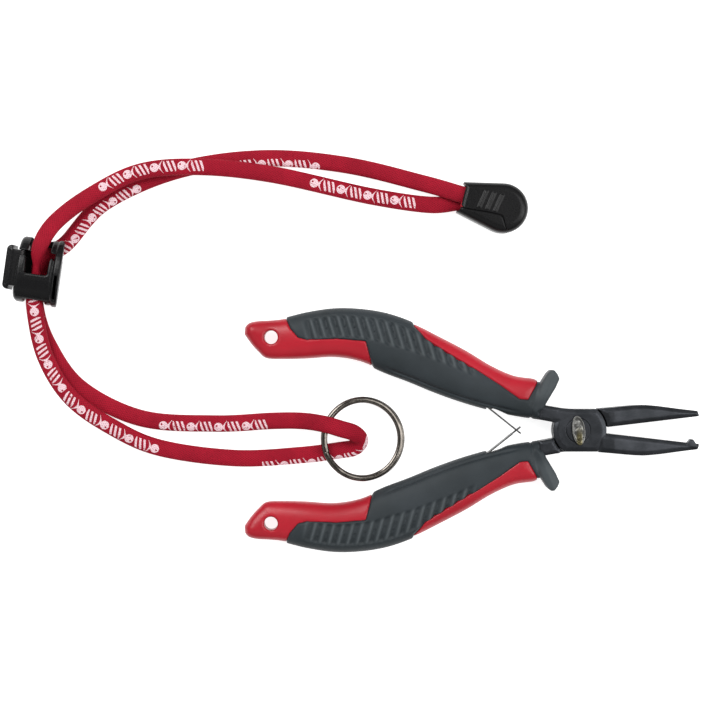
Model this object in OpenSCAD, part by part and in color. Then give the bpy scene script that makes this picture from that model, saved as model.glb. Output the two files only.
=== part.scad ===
/* [Joint] */
// Distance from the middle of the pliers to the pivot, along the jaws
pivot_x = 35.3; // [34:0.1:37]
// Angle of each jaw's inner face from the centre line, springs open
jaw_angle = 6.5; // [5:0.1:8]
// Thickness of the joint, both plates together
joint_t = 8.4; // [7:0.1:9]
// Gap between the two joint plates
plate_gap = 0.06; // [0.02:0.01:0.1]
// Radius of the rivet's shank
rivet_r = 1.9; // [1.5:0.1:2.5]
// Radius of the rivet's two heads
rivet_head_r = 4; // [3:0.1:4.5]
// Radial clearance of every running fit
run_gap = 0.05; // [0.02:0.01:0.1]
// Half the badge's width
badge_half_w = 2.15; // [1.5:0.05:2.5]
// Half the badge's length
badge_half_l = 4.9; // [4:0.1:5.5]
// Height of the tooth on the lower jaw's tip
tooth_h = 1.3; // [0.6:0.1:1.4]
// Thickness of the jaws at their tips
tip_t = 3.2; // [2:0.1:5]

/* [Handles] */
// Thickness of each handle at the palm
grip_t = 12; // [11:0.1:13]
// Thickness of each handle at its tail
tail_t = 9; // [8:0.1:10]
// Radius of the hole in each tail
tail_hole_r = 2.25; // [1.5:0.05:2.5]
// Thickness of the tang inside each handle
tang_t = 4.8; // [4:0.1:5.5]
// Squareness of the handles' section: 2 is an ellipse, and more is squarer
handle_square = 2.3; // [2:0.1:3]

/* [Springs] */
// Width of each leaf spring
leaf_w = 4.4; // [4:0.1:4.6]
// Thickness of each leaf spring
leaf_t = 0.5; // [0.3:0.05:0.6]
// Length of each leaf spring from its eye's centre
leaf_l = 13.8; // [13.5:0.1:14]
// Angle of each leaf spring from the centre line, springs open
leaf_angle = 38.5; // [38:0.5:39]
// Width of the slot in the forked spring
fork_slot_w = 2.4; // [2.2:0.1:2.6]
// Width of the tongue on the other spring
tongue_w = 1.8; // [1.4:0.1:1.9]
// Radius of each spring pin
spring_pin_r = 0.75; // [0.6:0.05:0.8]

/* [Lanyard] */
// Width of the flat cord
cord_w = 5.6; // [5:0.1:5.8]
// Thickness of the flat cord
cord_t = 3; // [2.6:0.1:3]
// Outer radius of the split ring
ring_r = 14.2; // [13.8:0.1:14.5]
// Width of the ring's wire across the ring
ring_wire_w = 2.1; // [1.8:0.1:2.4]
// Height of one turn of the ring's wire
ring_wire_h = 1.35; // [1:0.05:1.4]
// Tilt of the ring, which leans on the cord
ring_tilt = 7.5; // [7:0.25:8]

/* [Hidden] */
$fn = 64;

mid_z = grip_t / 2;
joint_top = mid_z + joint_t / 2;
joint_low = mid_z - joint_t / 2;
head_t = 1;
badge_foot_t = 0.05;
badge_rim = 0.4;
badge_lean = 7;
far = 60;

// Radii about the pivot that keep the turning halves apart
hub_rear_r = 8.3;
hub_front_r = 9.4;
hub_half_w = 7.05;
// Where the jaws begin and start to taper, and where the tang's root and its stem begin
jaw_root_x = 6;
taper_x = 12;
root_end_x = -6;
stem_start_x = -12.9;
tang_start_r = 8.6;
jaw_start_r = 9.7;

// Steel halves, in the pivot's frame: the outer edge from the tang to the jaw's tip
jaw_l = 40.5;
steel_edge = [[-13, 8.7], [-6, 7.5], [0, 7], [5, 7.1], [10, 7.5], [20, 8.35], [26, 8.1], [34, 7.1], [40, 6.4]];
// The tang's centre line inside the handle, and half its width
tang_line = [[-8, 5.4], [-20, 10.5], [-34, 16.5], [-50, 22.5], [-66, 29], [-80, 31.5]];
tang_half_w = 2.7;

// Handle stations, each [outer edge, inner edge, thickness], from the tail to the collar
handle_stations = [
    [[-110.9, 34.4], [-111.1, 31.8], tail_t],
    [[-109.4, 35.9], [-109, 28.8], tail_t],
    [[-106.2, 36.7], [-106.4, 25.8], tail_t],
    [[-102, 37], [-103.6, 23.5], tail_t],
    [[-97.5, 37.5], [-98, 23.2], 10],
    [[-90, 39.3], [-90, 23.4], 11.4],
    [[-81, 40.6], [-81, 23.9], grip_t],
    [[-72, 40.4], [-72.5, 22.5], grip_t],
    [[-63, 38.9], [-64, 18.9], grip_t],
    [[-54, 35.7], [-56, 15.9], grip_t],
    [[-45, 31.2], [-48, 12.6], grip_t],
    [[-36.5, 26.7], [-40, 9.7], 11.6],
    [[-28.5, 21.8], [-32, 7.3], 11.2],
    [[-21, 18.5], [-22.5, 5], 10.8],
    [[-14.2, 17.4], [-14.5, 3.7], 10.6],
    [[-12.4, 15.6], [-11.3, 3.3], 10.4]
];
// Where the red core shows: the tail with the inner strip, and the outer strip by the collar
tail_red = [
    [-120, 20], [-120, 44], [-97.3, 44], [-97.3, 37.6], [-95.7, 33.8], [-93, 30.6],
    [-90, 29.8], [-80, 30.2], [-70.6, 29.4], [-68.3, 20.8], [-68.3, 14]
];
fore_red = [
    [-54.6, 44], [-54.2, 34.6], [-50, 30.2], [-42, 25.2], [-34, 20.4], [-26, 15.3], [-19.4, 10.6],
    [-16.8, 10.4], [-13.4, 17.2], [-13.4, 30]
];
finger_guard = [
    [-14.5, 12], [-12.6, 16], [-10.4, 18.9], [-9, 20.1], [-7.9, 20], [-6.8, 18.7], [-6.1, 17.1],
    [-7.4, 14.2], [-10.7, 8.8], [-11.3, 7], [-14.5, 6]
];
guard_start_x = -13.4;
guard_t = 9.6;
tail_hole = [-101.9, 30.9];
// Where the hidden spine of the core begins and ends
spine_x = [-99, -13.5];
// Thickness of the soft grip over the core
grip_cover = 0.8;

// Leaf springs, in the pivot's frame, for the upper handle: the eye's centre and its radius,
// where the fork and the tongue begin, and how far the strip bends towards the handle
leaf_root = [-28.97, 8.36];
leaf_eye_r = 1.35;
leaf_split = 10.2;
leaf_bend = 14;
leaf_room = 0.35;
spring_pin_l = 6.6;

// Lanyard: places of its pieces in the pliers' frame
ring_centre = [-36, -3.1];
lock_centre = [-144.2, 53];
lock_turn = -8;
end_mouth = [-3.7, 77.6];
end_turn = -14.4;

// Cord lock, in its own frame: the button pushes along +x and the cord runs along y
lock_t = 12.4;
lock_body_x = [-6.9, 5.8];
lock_flange_x = [5.6, 8.3];
lock_flange_rim = 0.3;
// Blocks and openings of the lock, each [low corner, high corner]
lock_cavity = [[-9, -6.2, 1], [5.4, 6.2, 11]];
lock_front_way = [[-3.4, -12, 1.5], [3.4, 8, 9.1]];
lock_top_way = [[-3.6, -1.2, 5.6], [3.6, 13.8, 14.6]];
lock_back_way = [[-3.4, 4.6, -1], [9.6, 13.6, 5.2]];
lock_slot = [[6.4, -8.8, 6], [7.3, -1, 15]];
button_head = [[-10.7, -7.4, 1.4], [-8.6, 7.4, 10.8]];
button_plunger = [[-8.7, -6.1, 1.1], [2, 6.1, 10.9]];
button_window = [[-5.6, -8, 1.5], [4, 8, 9.1]];
button_top_way = [[-5.6, -1.4, 5.6], [4, 8.6, 14.6]];
button_back_way = [[-5.6, 4.4, 0], [4, 14.4, 6]];
// The button's coil spring, as a tube
lock_spring_x = [3.7, 5.3];
lock_spring_r = [1.6, 2.1];

// Cord end, in its own frame: the mouth at x = 0 and the round end at +x
end_centre_x = 14.8;
end_r = 8.3;
end_mouth_half = 5.2;
end_split_z = 4.8;
end_t = 9.2;
end_hinge = [20.2, 4.8];
end_wall = 1.5;
end_floor_t = 0.8;
end_roof_t = 0.9;
end_cavity_x = 17;
end_mouth_way = [[-1, -4.7, 0.8], [3, 4.7, 8.4]];
end_knot = [[5.2, -4, 1.2], [13.2, 4, 7.8]];
lid_gap = 0.1;
hinge_r = 1.6;
hinge_pin_r = 0.8;
hinge_pin_half_l = 4.7;
hinge_room = 1.9;
knuckle_half_w = 1.9;
knuckle_gap = 0.15;
lid_ear_y = 3.4;
lid_ear_half_w = 1.3;
// Thumb ribs on the lid: the first one's place, their pitch, width, half length and height
lid_rib_x = 6.6;
lid_rib_pitch = 2.5;
lid_rib_w = 1;
lid_rib_half_l = 3.6;
lid_rib_h = 0.4;

// The cord's route: out of the cord end, through the lock, round the ring and back
cord_route = [
    [1.6, 77.2, 5.8], [-4, 78.8, 5.7], [-15.5, 82.4, 2.6], [-42, 88.8, 1.5], [-70, 91, 1.5],
    [-98.3, 86.9, 1.5], [-122.7, 76.2, 1.5], [-135.6, 62.4, 1.8], [-142.8, 57.6, 3.5], [-144.6, 50, 3.7],
    [-145.6, 41, 3.3], [-141.6, 28.4, 1.5], [-131, 14, 1.5], [-110.5, 3.8, 1.5], [-85.5, 2, 1.5],
    [-66.5, 2.9, 1.9], [-56.5, 3, 4.8], [-49.3, 2.1, 7.9], [-43.2, 0.4, 8], [-39, -1, 6.7],
    [-37, -3.5, 4.6], [-39, -6, 2.6], [-43.4, -6.9, 1.6], [-57, -8.6, 1.5], [-79, -9.6, 1.5],
    [-104, -6.2, 1.5], [-119.8, 0.8, 3.4], [-133.6, 10.8, 4.8], [-142.2, 24.6, 4.9],
    [-145.4, 40.6, 6.7], [-144.8, 49.5, 7.2], [-144.4, 54.2, 8.5], [-143.2, 60.4, 11],
    [-138.4, 69, 8], [-126.9, 78.3, 4.8], [-110.5, 86.2, 4.7], [-90.5, 87.8, 4.9], [-66, 85.3, 3.8],
    [-34, 78.4, 1.5], [-14, 75.4, 1.5], [-4, 76.1, 2.4], [1.4, 74.9, 2.5]
];

// Catmull-Rom curve through a list of points of any size
function spline_at(p, i, t) =
    let (
        n = len(p),
        a = p[max(i - 1, 0)],
        b = p[i],
        c = p[min(i + 1, n - 1)],
        d = p[min(i + 2, n - 1)]
    )
    0.5 * (2 * b + (c - a) * t + (2 * a - 5 * b + 4 * c - d) * t * t
        + (3 * b - a - 3 * c + d) * t * t * t);
function smooth(p, steps) = concat(
    [for (i = [0 : len(p) - 2]) for (s = [0 : steps - 1]) spline_at(p, i, s / steps)],
    [p[len(p) - 1]]
);
function reversed(p) = [for (i = [len(p) - 1 : -1 : 0]) p[i]];
function unit(v) = v / norm(v);
function column(p, i) = [for (row = p) row[i]];
function along(angle) = [cos(angle), sin(angle)];
function side_of(angle) = [-sin(angle), cos(angle)];

module box(corners) translate(corners[0]) cube(corners[1] - corners[0]);

// Sides of a band of half width h about a line in the plane
function band_side(line, h) = [
    for (i = [0 : len(line) - 1])
        let (d = unit(line[min(i + 1, len(line) - 1)] - line[max(i - 1, 0)]))
        line[i] + h * [-d[1], d[0]]
];
function band(line, h) = concat(band_side(line, h), reversed(band_side(line, -h)));

// A closed solid through rings of equal length
module loft(rings) {
    count = len(rings);
    sides = len(rings[0]);
    points = [for (ring = rings) each ring];
    walls = [
        for (i = [0 : count - 2]) for (j = [0 : sides - 1])
            let (a = i * sides + j, b = i * sides + (j + 1) % sides)
            each [[a, b, b + sides], [a, b + sides, a + sides]]
    ];
    first = [for (j = [sides - 1 : -1 : 0]) j];
    last = [for (j = [0 : sides - 1]) (count - 1) * sides + j];
    polyhedron(points, concat([first], walls, [last]));
}

// Moves a piece from the pivot's frame to the pliers' frame
module at_pivot() translate([pivot_x, 0, 0]) children();

// The lower handle's pieces mirror the upper handle's
module lower() mirror([0, 1, 0]) children();

// --- Steel halves -----------------------------------------------------------

steel_curve = smooth(steel_edge, 4);
jaw_tip_low = jaw_l * tan(jaw_angle);

module upper_jaw_plan() {
    edge = [for (p = steel_curve) if (p[0] >= jaw_root_x) p];
    jaw_root = [jaw_root_x, jaw_root_x * tan(jaw_angle)];
    polygon(concat(edge, [[jaw_l, jaw_tip_low + 0.5], [jaw_l, jaw_tip_low], jaw_root]));
}

module tang_root_plan() {
    edge = [for (p = steel_curve) if (p[0] <= jaw_root_x) p];
    polygon(concat(edge, [[0, 0], [-8.2, 2.7], [-13, 3.6]]));
}

module tang_plan() polygon(band(smooth(tang_line, 3), tang_half_w));

module hub_plan() intersection() {
    union() {
        circle(r = hub_rear_r);
        intersection() {
            circle(r = hub_front_r);
            translate([0, -far]) square([far, 2 * far]);
        }
    }
    translate([-far, -hub_half_w]) square([2 * far, 2 * hub_half_w]);
}

module outside(r) difference() {
    children();
    circle(r = r);
}

// Side profile of the visible steel: full at the joint, thin at the jaws' tips
module steel_side() translate([0, far, 0]) rotate([90, 0, 0]) linear_extrude(2 * far)
    polygon([
        [-13, joint_low], [taper_x, joint_low], [jaw_l + 1, mid_z - tip_t / 2],
        [jaw_l + 1, mid_z + tip_t / 2], [taper_x, joint_top], [-13, joint_top]
    ]);

// One half seen as the lower half: tang above the centre line, jaw below it
module steel_half(z0, z1, tooth) {
    intersection() {
        steel_side();
        union() {
            translate([0, 0, z0]) linear_extrude(z1 - z0) union() {
                hub_plan();
                tang_root_plan();
                mirror([0, 1]) upper_jaw_plan();
            }
            linear_extrude(grip_t) outside(tang_start_r) difference() {
                tang_root_plan();
                translate([root_end_x, -far]) square([far, 2 * far]);
            }
            linear_extrude(grip_t) outside(jaw_start_r) mirror([0, 1]) upper_jaw_plan();
            if (tooth) linear_extrude(grip_t) tooth_plan();
        }
    }
    translate([0, 0, mid_z - tang_t / 2]) linear_extrude(tang_t) intersection() {
        tang_plan();
        translate([stem_start_x - 2 * far, 0]) square([2 * far, far]);
    }
}

// The tooth stands on the inner face of the lower jaw, at its tip
module tooth_plan() rotate(-jaw_angle) polygon([
    [36.4, -0.6], [37.7, tooth_h], [38.6, tooth_h], [40.6, -1], [39, -1.6]
]);

module front_jaw_tang() color([0.27, 0.28, 0.3]) at_pivot() difference() {
    steel_half(mid_z + plate_gap / 2, joint_top, true);
    cylinder(h = far, r = rivet_r + run_gap);
    translate([0, 0, joint_top - head_t - run_gap]) cylinder(h = joint_t, r = rivet_head_r + run_gap);
}

module rear_jaw_tang() color([0.25, 0.26, 0.28]) at_pivot() difference() {
    lower() steel_half(joint_low, mid_z - plate_gap / 2, false);
    cylinder(h = mid_z + 1, r = rivet_r + run_gap);
    cylinder(h = joint_low + head_t + run_gap, r = rivet_head_r + run_gap);
}

module pivot_rivet() color([0.4, 0.4, 0.42]) at_pivot() {
    translate([0, 0, joint_low]) cylinder(h = joint_t, r = rivet_r);
    translate([0, 0, joint_low]) cylinder(h = head_t, r = rivet_head_r);
    translate([0, 0, joint_top - head_t]) cylinder(h = head_t, r = rivet_head_r);
}

module pivot_badge() color([0.75, 0.74, 0.66]) at_pivot() rotate(badge_lean) {
    translate([0, 0, joint_top]) cylinder(h = badge_foot_t, r = badge_half_w);
    oval(badge_half_w, badge_half_l, joint_top + badge_foot_t, 0.5);
    oval(badge_half_w - badge_rim, badge_half_l - badge_rim, joint_top + badge_foot_t + 0.5, 0.3);
}

// A flat oval plate with half widths a and b
module oval(a, b, z, h) translate([0, 0, z]) linear_extrude(h)
    polygon([for (i = [0 : 35]) [a * cos(i * 10), b * sin(i * 10)]]);

// --- Handles ----------------------------------------------------------------

// A rounded ring of points between the outer and the inner edge
section_points = 12;
function rounded(v) = sign(v) * pow(abs(v), 2 / handle_square);
function handle_ring(s) =
    let (
        middle = (s[0] + s[1]) / 2,
        half = (s[1] - s[0]) / 2,
        step = 360 / section_points,
        full_x = rounded(cos(step / 2)),
        full_z = rounded(sin(90 - step / 2))
    )
    [
        for (k = [0 : section_points - 1])
            let (a = (k + 0.5) * step)
            [each (middle + half * rounded(cos(a)) / full_x), mid_z + s[2] / 2 * rounded(sin(a)) / full_z]
    ];

function station_pairs(steps) =
    let (
        o = smooth(column(handle_stations, 0), steps),
        i = smooth(column(handle_stations, 1), steps),
        t = [for (v = smooth([for (s = handle_stations) [s[2], 0]], steps)) v[0]]
    )
    [for (k = [0 : len(o) - 1]) [o[k], i[k], min(t[k], grip_t)]];

module handle_form() loft([for (s = station_pairs(2)) handle_ring(s)]);

// The hidden spine of the core, under the soft grip
module core_spine() loft([
    for (s = station_pairs(2))
        let (inward = grip_cover * unit(s[1] - s[0]))
        if (s[0][0] > spine_x[0] && s[0][0] < spine_x[1])
            handle_ring([s[0] + inward, s[1] - inward, s[2] - 2 * grip_cover])
]);

module red_zone() translate([0, 0, -1]) linear_extrude(grip_t + 2) union() {
    polygon(tail_red);
    polygon(fore_red);
}

// Room for the spring's eye and for the strip as it bends towards the handle
module spring_pocket() {
    rest = -leaf_angle;
    bent = leaf_bend - leaf_angle;
    below = leaf_root - (leaf_eye_r + leaf_room) * side_of(rest);
    above = leaf_root - (leaf_eye_r - leaf_t - leaf_room) * side_of(bent);
    translate([0, 0, mid_z - leaf_w / 2 - leaf_room]) linear_extrude(leaf_w + 2 * leaf_room) union() {
        translate(leaf_root) circle(r = leaf_eye_r + leaf_room);
        polygon([below, below + 8 * along(rest), above + 8 * along(bent), above]);
    }
}

module tang_room() translate([0, 0, mid_z - tang_t / 2]) linear_extrude(tang_t) tang_plan();

module spring_pin_form() translate([each leaf_root, mid_z - spring_pin_l / 2])
    cylinder(h = spring_pin_l, r = spring_pin_r);

module handle_core() difference() {
    union() {
        intersection() {
            handle_form();
            red_zone();
        }
        core_spine();
    }
    tang_room();
    spring_pocket();
    spring_pin_form();
    translate([each tail_hole, -1]) cylinder(h = grip_t + 2, r = tail_hole_r);
}

module handle_grip() difference() {
    union() {
        difference() {
            handle_form();
            red_zone();
            core_spine();
        }
        translate([0, 0, mid_z - guard_t / 2]) linear_extrude(guard_t) intersection() {
            polygon(finger_guard);
            translate([guard_start_x, 0]) square(far);
        }
    }
    translate([0, 0, joint_low]) linear_extrude(joint_t) tang_root_plan();
    tang_room();
    spring_pocket();
    spring_pin_form();
}

module upper_handle_core() color([0.8, 0.14, 0.2]) at_pivot() handle_core();
module lower_handle_core() color([0.8, 0.14, 0.2]) at_pivot() lower() handle_core();
module upper_handle_grip() color([0.25, 0.28, 0.29]) at_pivot() handle_grip();
module lower_handle_grip() color([0.25, 0.28, 0.29]) at_pivot() lower() handle_grip();

// --- Leaf springs -----------------------------------------------------------

// A strip that leaves its eye along +x, with a fork or a tongue at its end
module leaf_strip(forked) difference() {
    union() {
        cylinder(h = leaf_w, r = leaf_eye_r);
        translate([0, -leaf_eye_r, 0]) cube([leaf_l, leaf_t, leaf_w]);
    }
    translate([0, 0, -1]) cylinder(h = leaf_w + 2, r = spring_pin_r + run_gap);
    if (forked) {
        translate([leaf_split, -2, (leaf_w - fork_slot_w) / 2]) cube([far, 2, fork_slot_w]);
    } else {
        translate([leaf_split, -2, -1]) cube([far, 2, 1 + (leaf_w - tongue_w) / 2]);
        translate([leaf_split, -2, (leaf_w + tongue_w) / 2]) cube([far, 2, far]);
    }
}

module leaf_in_place(forked) at_pivot() translate([each leaf_root, mid_z - leaf_w / 2])
    rotate(-leaf_angle) leaf_strip(forked);

module upper_leaf_spring() color([0.7, 0.71, 0.73]) leaf_in_place(true);
module lower_leaf_spring() color([0.7, 0.71, 0.73]) lower() leaf_in_place(false);

module upper_spring_pin() color([0.6, 0.6, 0.62]) at_pivot() spring_pin_form();
module lower_spring_pin() color([0.6, 0.6, 0.62]) at_pivot() lower() spring_pin_form();

// --- Cord -------------------------------------------------------------------

// Twelve points round the flat cord's section, across the route at a point
function cord_ring(p, direction) =
    let (
        t = unit(direction),
        w = unit(cross([0, 0, 1], t)),
        h = cross(t, w),
        r = cord_t / 2,
        flat = cord_w / 2 - r
    )
    [
        for (k = [0 : 11])
            let (a = -75 + 30 * k, side = k < 6 ? flat : -flat)
            p + (side + r * cos(a)) * w + r * sin(a) * h
    ];

cord_line = [for (p = smooth(cord_route, 2)) [p[0], p[1], max(p[2], cord_t / 2)]];
module lanyard_cord() color([0.72, 0.1, 0.2]) loft([
    for (i = [0 : len(cord_line) - 1])
        cord_ring(cord_line[i], cord_line[min(i + 1, len(cord_line) - 1)] - cord_line[max(i - 1, 0)])
]);

// --- Cord lock --------------------------------------------------------------

module at_lock() translate([each lock_centre, 0]) rotate(lock_turn) children();

// The barrel's rounded section, swept along the button's travel
module barrel(x0, x1, shrink) translate([x0, 0, 0]) rotate([90, 0, 90]) linear_extrude(x1 - x0)
    polygon(smooth([
        [-11.3 + shrink, 5.6], [-10.4 + shrink, 1.6 + shrink], [-7.5, shrink], [0, shrink],
        [7.5, shrink], [10.4 - shrink, 1.6 + shrink], [11.3 - shrink, 4.6], [9.6 - shrink, 8.2 - shrink],
        [5.5, lock_t - 1.2 - shrink], [0, lock_t - shrink], [-6.5, lock_t - 0.4 - shrink],
        [-10.2 + shrink, 9.6 - shrink], [-11.3 + shrink, 5.6]
    ], 3));

module cord_passage() {
    box(lock_front_way);
    box(lock_top_way);
    box(lock_back_way);
}

module cord_lock_body() color([0.13, 0.13, 0.13]) at_lock() difference() {
    union() {
        barrel(lock_body_x[0], lock_body_x[1], lock_flange_rim);
        barrel(lock_flange_x[0], lock_flange_x[1], 0);
    }
    box(lock_cavity);
    cord_passage();
    box(lock_slot);
}

module cord_lock_button() color([0.12, 0.12, 0.12]) at_lock() difference() {
    union() {
        box(button_head);
        box(button_plunger);
    }
    box(button_window);
    box(button_top_way);
    box(button_back_way);
}

module cord_lock_spring() color([0.7, 0.7, 0.7]) at_lock() translate([lock_spring_x[0], 0, mid_z])
    rotate([0, 90, 0]) difference() {
        cylinder(h = lock_spring_x[1] - lock_spring_x[0], r = lock_spring_r[1]);
        translate([0, 0, -1]) cylinder(h = 4, r = lock_spring_r[0]);
    }

// --- Cord end ---------------------------------------------------------------

module at_end() translate([each end_mouth, 0]) rotate(end_turn) children();

// Outline of the cord end: a straight mouth that widens into a round end
module end_plan(inset) {
    r = end_r - inset;
    half = end_mouth_half - inset;
    lean = asin((end_r - end_mouth_half) / end_centre_x) * 0.98;
    translate([end_centre_x, 0]) circle(r = r);
    polygon([
        [inset, -half], [end_centre_x - r * sin(lean), -r * cos(lean)],
        [end_centre_x - r * sin(lean), r * cos(lean)], [inset, half]
    ]);
}

module end_shell(z0, z1, floor_z, floor_t) difference() {
    translate([0, 0, z0]) linear_extrude(z1 - z0) end_plan(0);
    difference() {
        translate([0, 0, floor_z]) linear_extrude(floor_t) end_plan(end_wall);
        translate([end_cavity_x, -far, -1]) cube([far, 2 * far, far]);
    }
    box(end_mouth_way);
}

module end_hinge_axis(r, half_l) translate([end_hinge[0], half_l, end_hinge[1]]) rotate([90, 0, 0])
    cylinder(h = 2 * half_l, r = r);

module cord_end_body() color([0.12, 0.12, 0.12]) at_end() difference() {
    union() {
        difference() {
            end_shell(0, end_split_z, end_floor_t, far);
            translate([end_hinge[0] - hinge_room, -far, end_floor_t + 0.4]) cube([far, 2 * far, far]);
        }
        intersection() {
            end_shell(0, end_t, end_floor_t, far);
            translate([end_hinge[0] - hinge_room - 0.1, -knuckle_half_w, 0])
                cube([hinge_room + hinge_r + 0.1, 2 * knuckle_half_w, end_split_z]);
        }
        end_hinge_axis(hinge_r, knuckle_half_w);
    }
    end_hinge_axis(hinge_pin_r, 5);
}

module cord_end_lid() color([0.14, 0.14, 0.14]) at_end() difference() {
    union() {
        end_shell(end_split_z + lid_gap, end_t, 0, end_t - end_roof_t);
        for (side = [-1, 1]) translate([0, side * lid_ear_y, 0]) end_hinge_axis(hinge_r, lid_ear_half_w);
        for (i = [0 : 2]) translate([lid_rib_x + lid_rib_pitch * i, -lid_rib_half_l, end_t - 0.2])
            cube([lid_rib_w, 2 * lid_rib_half_l, lid_rib_h + 0.2]);
    }
    translate([end_hinge[0] - hinge_room - 0.1, -knuckle_half_w - knuckle_gap, 0])
        cube([far, 2 * (knuckle_half_w + knuckle_gap), far]);
    end_hinge_axis(hinge_pin_r + run_gap, 6);
}

module cord_end_pin() color([0.5, 0.5, 0.5]) at_end() end_hinge_axis(hinge_pin_r, hinge_pin_half_l);

module cord_end_knot() color([0.72, 0.1, 0.2]) at_end() box(end_knot);

// --- Split ring -------------------------------------------------------------

module split_ring() color([0.36, 0.34, 0.32])
    translate([each ring_centre, ring_r * sin(ring_tilt) + ring_wire_h * cos(ring_tilt) + 0.02])
        rotate([0, ring_tilt, 0]) rotate_extrude() translate([ring_r - ring_wire_w, -ring_wire_h])
            square([ring_wire_w, 2 * ring_wire_h]);

front_jaw_tang();
rear_jaw_tang();
pivot_rivet();
pivot_badge();
upper_handle_core();
upper_handle_grip();
lower_handle_core();
lower_handle_grip();
upper_leaf_spring();
lower_leaf_spring();
upper_spring_pin();
lower_spring_pin();
lanyard_cord();
cord_lock_body();
cord_lock_button();
cord_lock_spring();
cord_end_body();
cord_end_lid();
cord_end_pin();
cord_end_knot();
split_ring();
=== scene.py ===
"""Fishing pliers with a cord lanyard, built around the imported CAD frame.

Shapes are worked out in millimetres, in the same frames as the CAD source: the pliers' halves about
their pivot, the cord lock and the cord end each in its own frame. Solid pieces are distance fields
that are turned into meshes; the cord, the rings and the springs are swept sections.
"""
import math

import bpy
import numpy as np
from mathutils import Matrix, Vector


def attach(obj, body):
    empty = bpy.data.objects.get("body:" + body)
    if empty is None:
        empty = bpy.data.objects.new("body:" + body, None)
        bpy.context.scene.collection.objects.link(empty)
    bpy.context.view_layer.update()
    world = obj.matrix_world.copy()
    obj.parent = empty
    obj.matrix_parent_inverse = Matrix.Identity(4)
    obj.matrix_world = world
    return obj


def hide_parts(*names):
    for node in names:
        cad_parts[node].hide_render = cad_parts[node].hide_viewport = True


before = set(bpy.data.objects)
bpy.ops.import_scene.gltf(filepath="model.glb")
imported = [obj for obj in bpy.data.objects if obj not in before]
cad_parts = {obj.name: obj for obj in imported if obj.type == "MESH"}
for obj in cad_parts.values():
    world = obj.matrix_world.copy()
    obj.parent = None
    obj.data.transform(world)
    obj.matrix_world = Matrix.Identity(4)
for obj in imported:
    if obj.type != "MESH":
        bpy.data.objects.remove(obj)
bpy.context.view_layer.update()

MM = 0.001
FLOOR_Z = -0.2 * MM
MID_Z = 6.0
PIVOT_X = 35.3


# --- Camera ---

VIEW_CENTRE = (-0.0397, 0.026)
VIEW_WIDTH = 0.23467
LENS = 100.0
SENSOR = 36.0
CLIP_START = 0.01


def add_camera():
    data = bpy.data.cameras.new("camera")
    data.lens = LENS
    data.sensor_width = SENSOR
    data.clip_start = CLIP_START
    camera = bpy.data.objects.new("camera", data)
    height = VIEW_WIDTH * LENS / SENSOR + MID_Z * MM
    camera.location = (*VIEW_CENTRE, height)
    bpy.context.scene.collection.objects.link(camera)
    bpy.context.scene.camera = camera


add_camera()


# --- Curves and outlines ---


def smooth(points, steps):
    """A Catmull-Rom curve through the points, the same as the CAD source's."""
    p = np.array(points, float)
    last = len(p) - 1
    rows = []
    for i in range(last):
        a, b, c, d = p[max(i - 1, 0)], p[i], p[i + 1], p[min(i + 2, last)]
        for t in np.arange(steps) / steps:
            rows.append(
                0.5 * (2 * b + (c - a) * t + (2 * a - 5 * b + 4 * c - d) * t**2
                       + (3 * b - a - 3 * c + d) * t**3)
            )
    return np.array(rows + [p[-1]])


def turned(points, degrees, move=(0, 0)):
    """Points turned about the origin in the plane, then moved."""
    a = math.radians(degrees)
    turn = np.array([[math.cos(a), math.sin(a)], [-math.sin(a), math.cos(a)]])
    return np.array(points, float) @ turn + np.array(move, float)


# --- Distance fields ---


def line_distance(line, x, y, closed=False):
    """Distance in the plane to a line of points."""
    best = np.inf
    ends = np.roll(line, -1, axis=0) if closed else line[1:]
    for (ax, ay), (bx, by) in zip(line, ends):
        ex, ey = bx - ax, by - ay
        along = np.clip(((x - ax) * ex + (y - ay) * ey) / (ex * ex + ey * ey), 0, 1)
        best = np.minimum(best, (x - ax - along * ex) ** 2 + (y - ay - along * ey) ** 2)
    return np.sqrt(best)


def outline_distance(outline, x, y):
    """Distance in the plane to a closed outline, negative inside."""
    outline = np.array(outline, float)
    inside = np.zeros(np.broadcast(x, y).shape, bool)
    for (ax, ay), (bx, by) in zip(outline, np.roll(outline, -1, axis=0)):
        if ay != by:
            crosses = ((ay > y) != (by > y)) & (x < (bx - ax) * (y - ay) / (by - ay) + ax)
            inside ^= crosses
    return line_distance(outline, x, y, closed=True) * np.where(inside, -1, 1)


def smooth_max(a, b, blend):
    h = np.maximum(blend - np.abs(a - b), 0) / blend
    return np.maximum(a, b) + h * h * blend / 4


def smooth_min(a, b, blend):
    return -smooth_max(-a, -b, blend)


def ramp(low, high, value):
    """From 0 at low to 1 at high, with soft ends."""
    t = np.clip((value - low) / (high - low), 0, 1)
    return t * t * (3 - 2 * t)


def rounded(flat, tall, radius):
    """An outline's distance and a height's distance joined with a rounded edge."""
    a, b = flat + radius, tall + radius
    outside = np.sqrt(np.maximum(a, 0) ** 2 + np.maximum(b, 0) ** 2)
    return outside + np.minimum(np.maximum(a, b), 0) - radius


def block(x, y, z, low, high, radius=0.0):
    """A box between two corners, with rounded edges."""
    sides = [
        np.abs(v - (a + b) / 2) - (b - a) / 2 + radius for v, a, b in zip((x, y, z), low, high)
    ]
    outside = np.sqrt(sum(np.maximum(s, 0) ** 2 for s in sides))
    return outside + np.minimum(np.maximum(np.maximum(sides[0], sides[1]), sides[2]), 0) - radius


# --- Meshes ---


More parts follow.
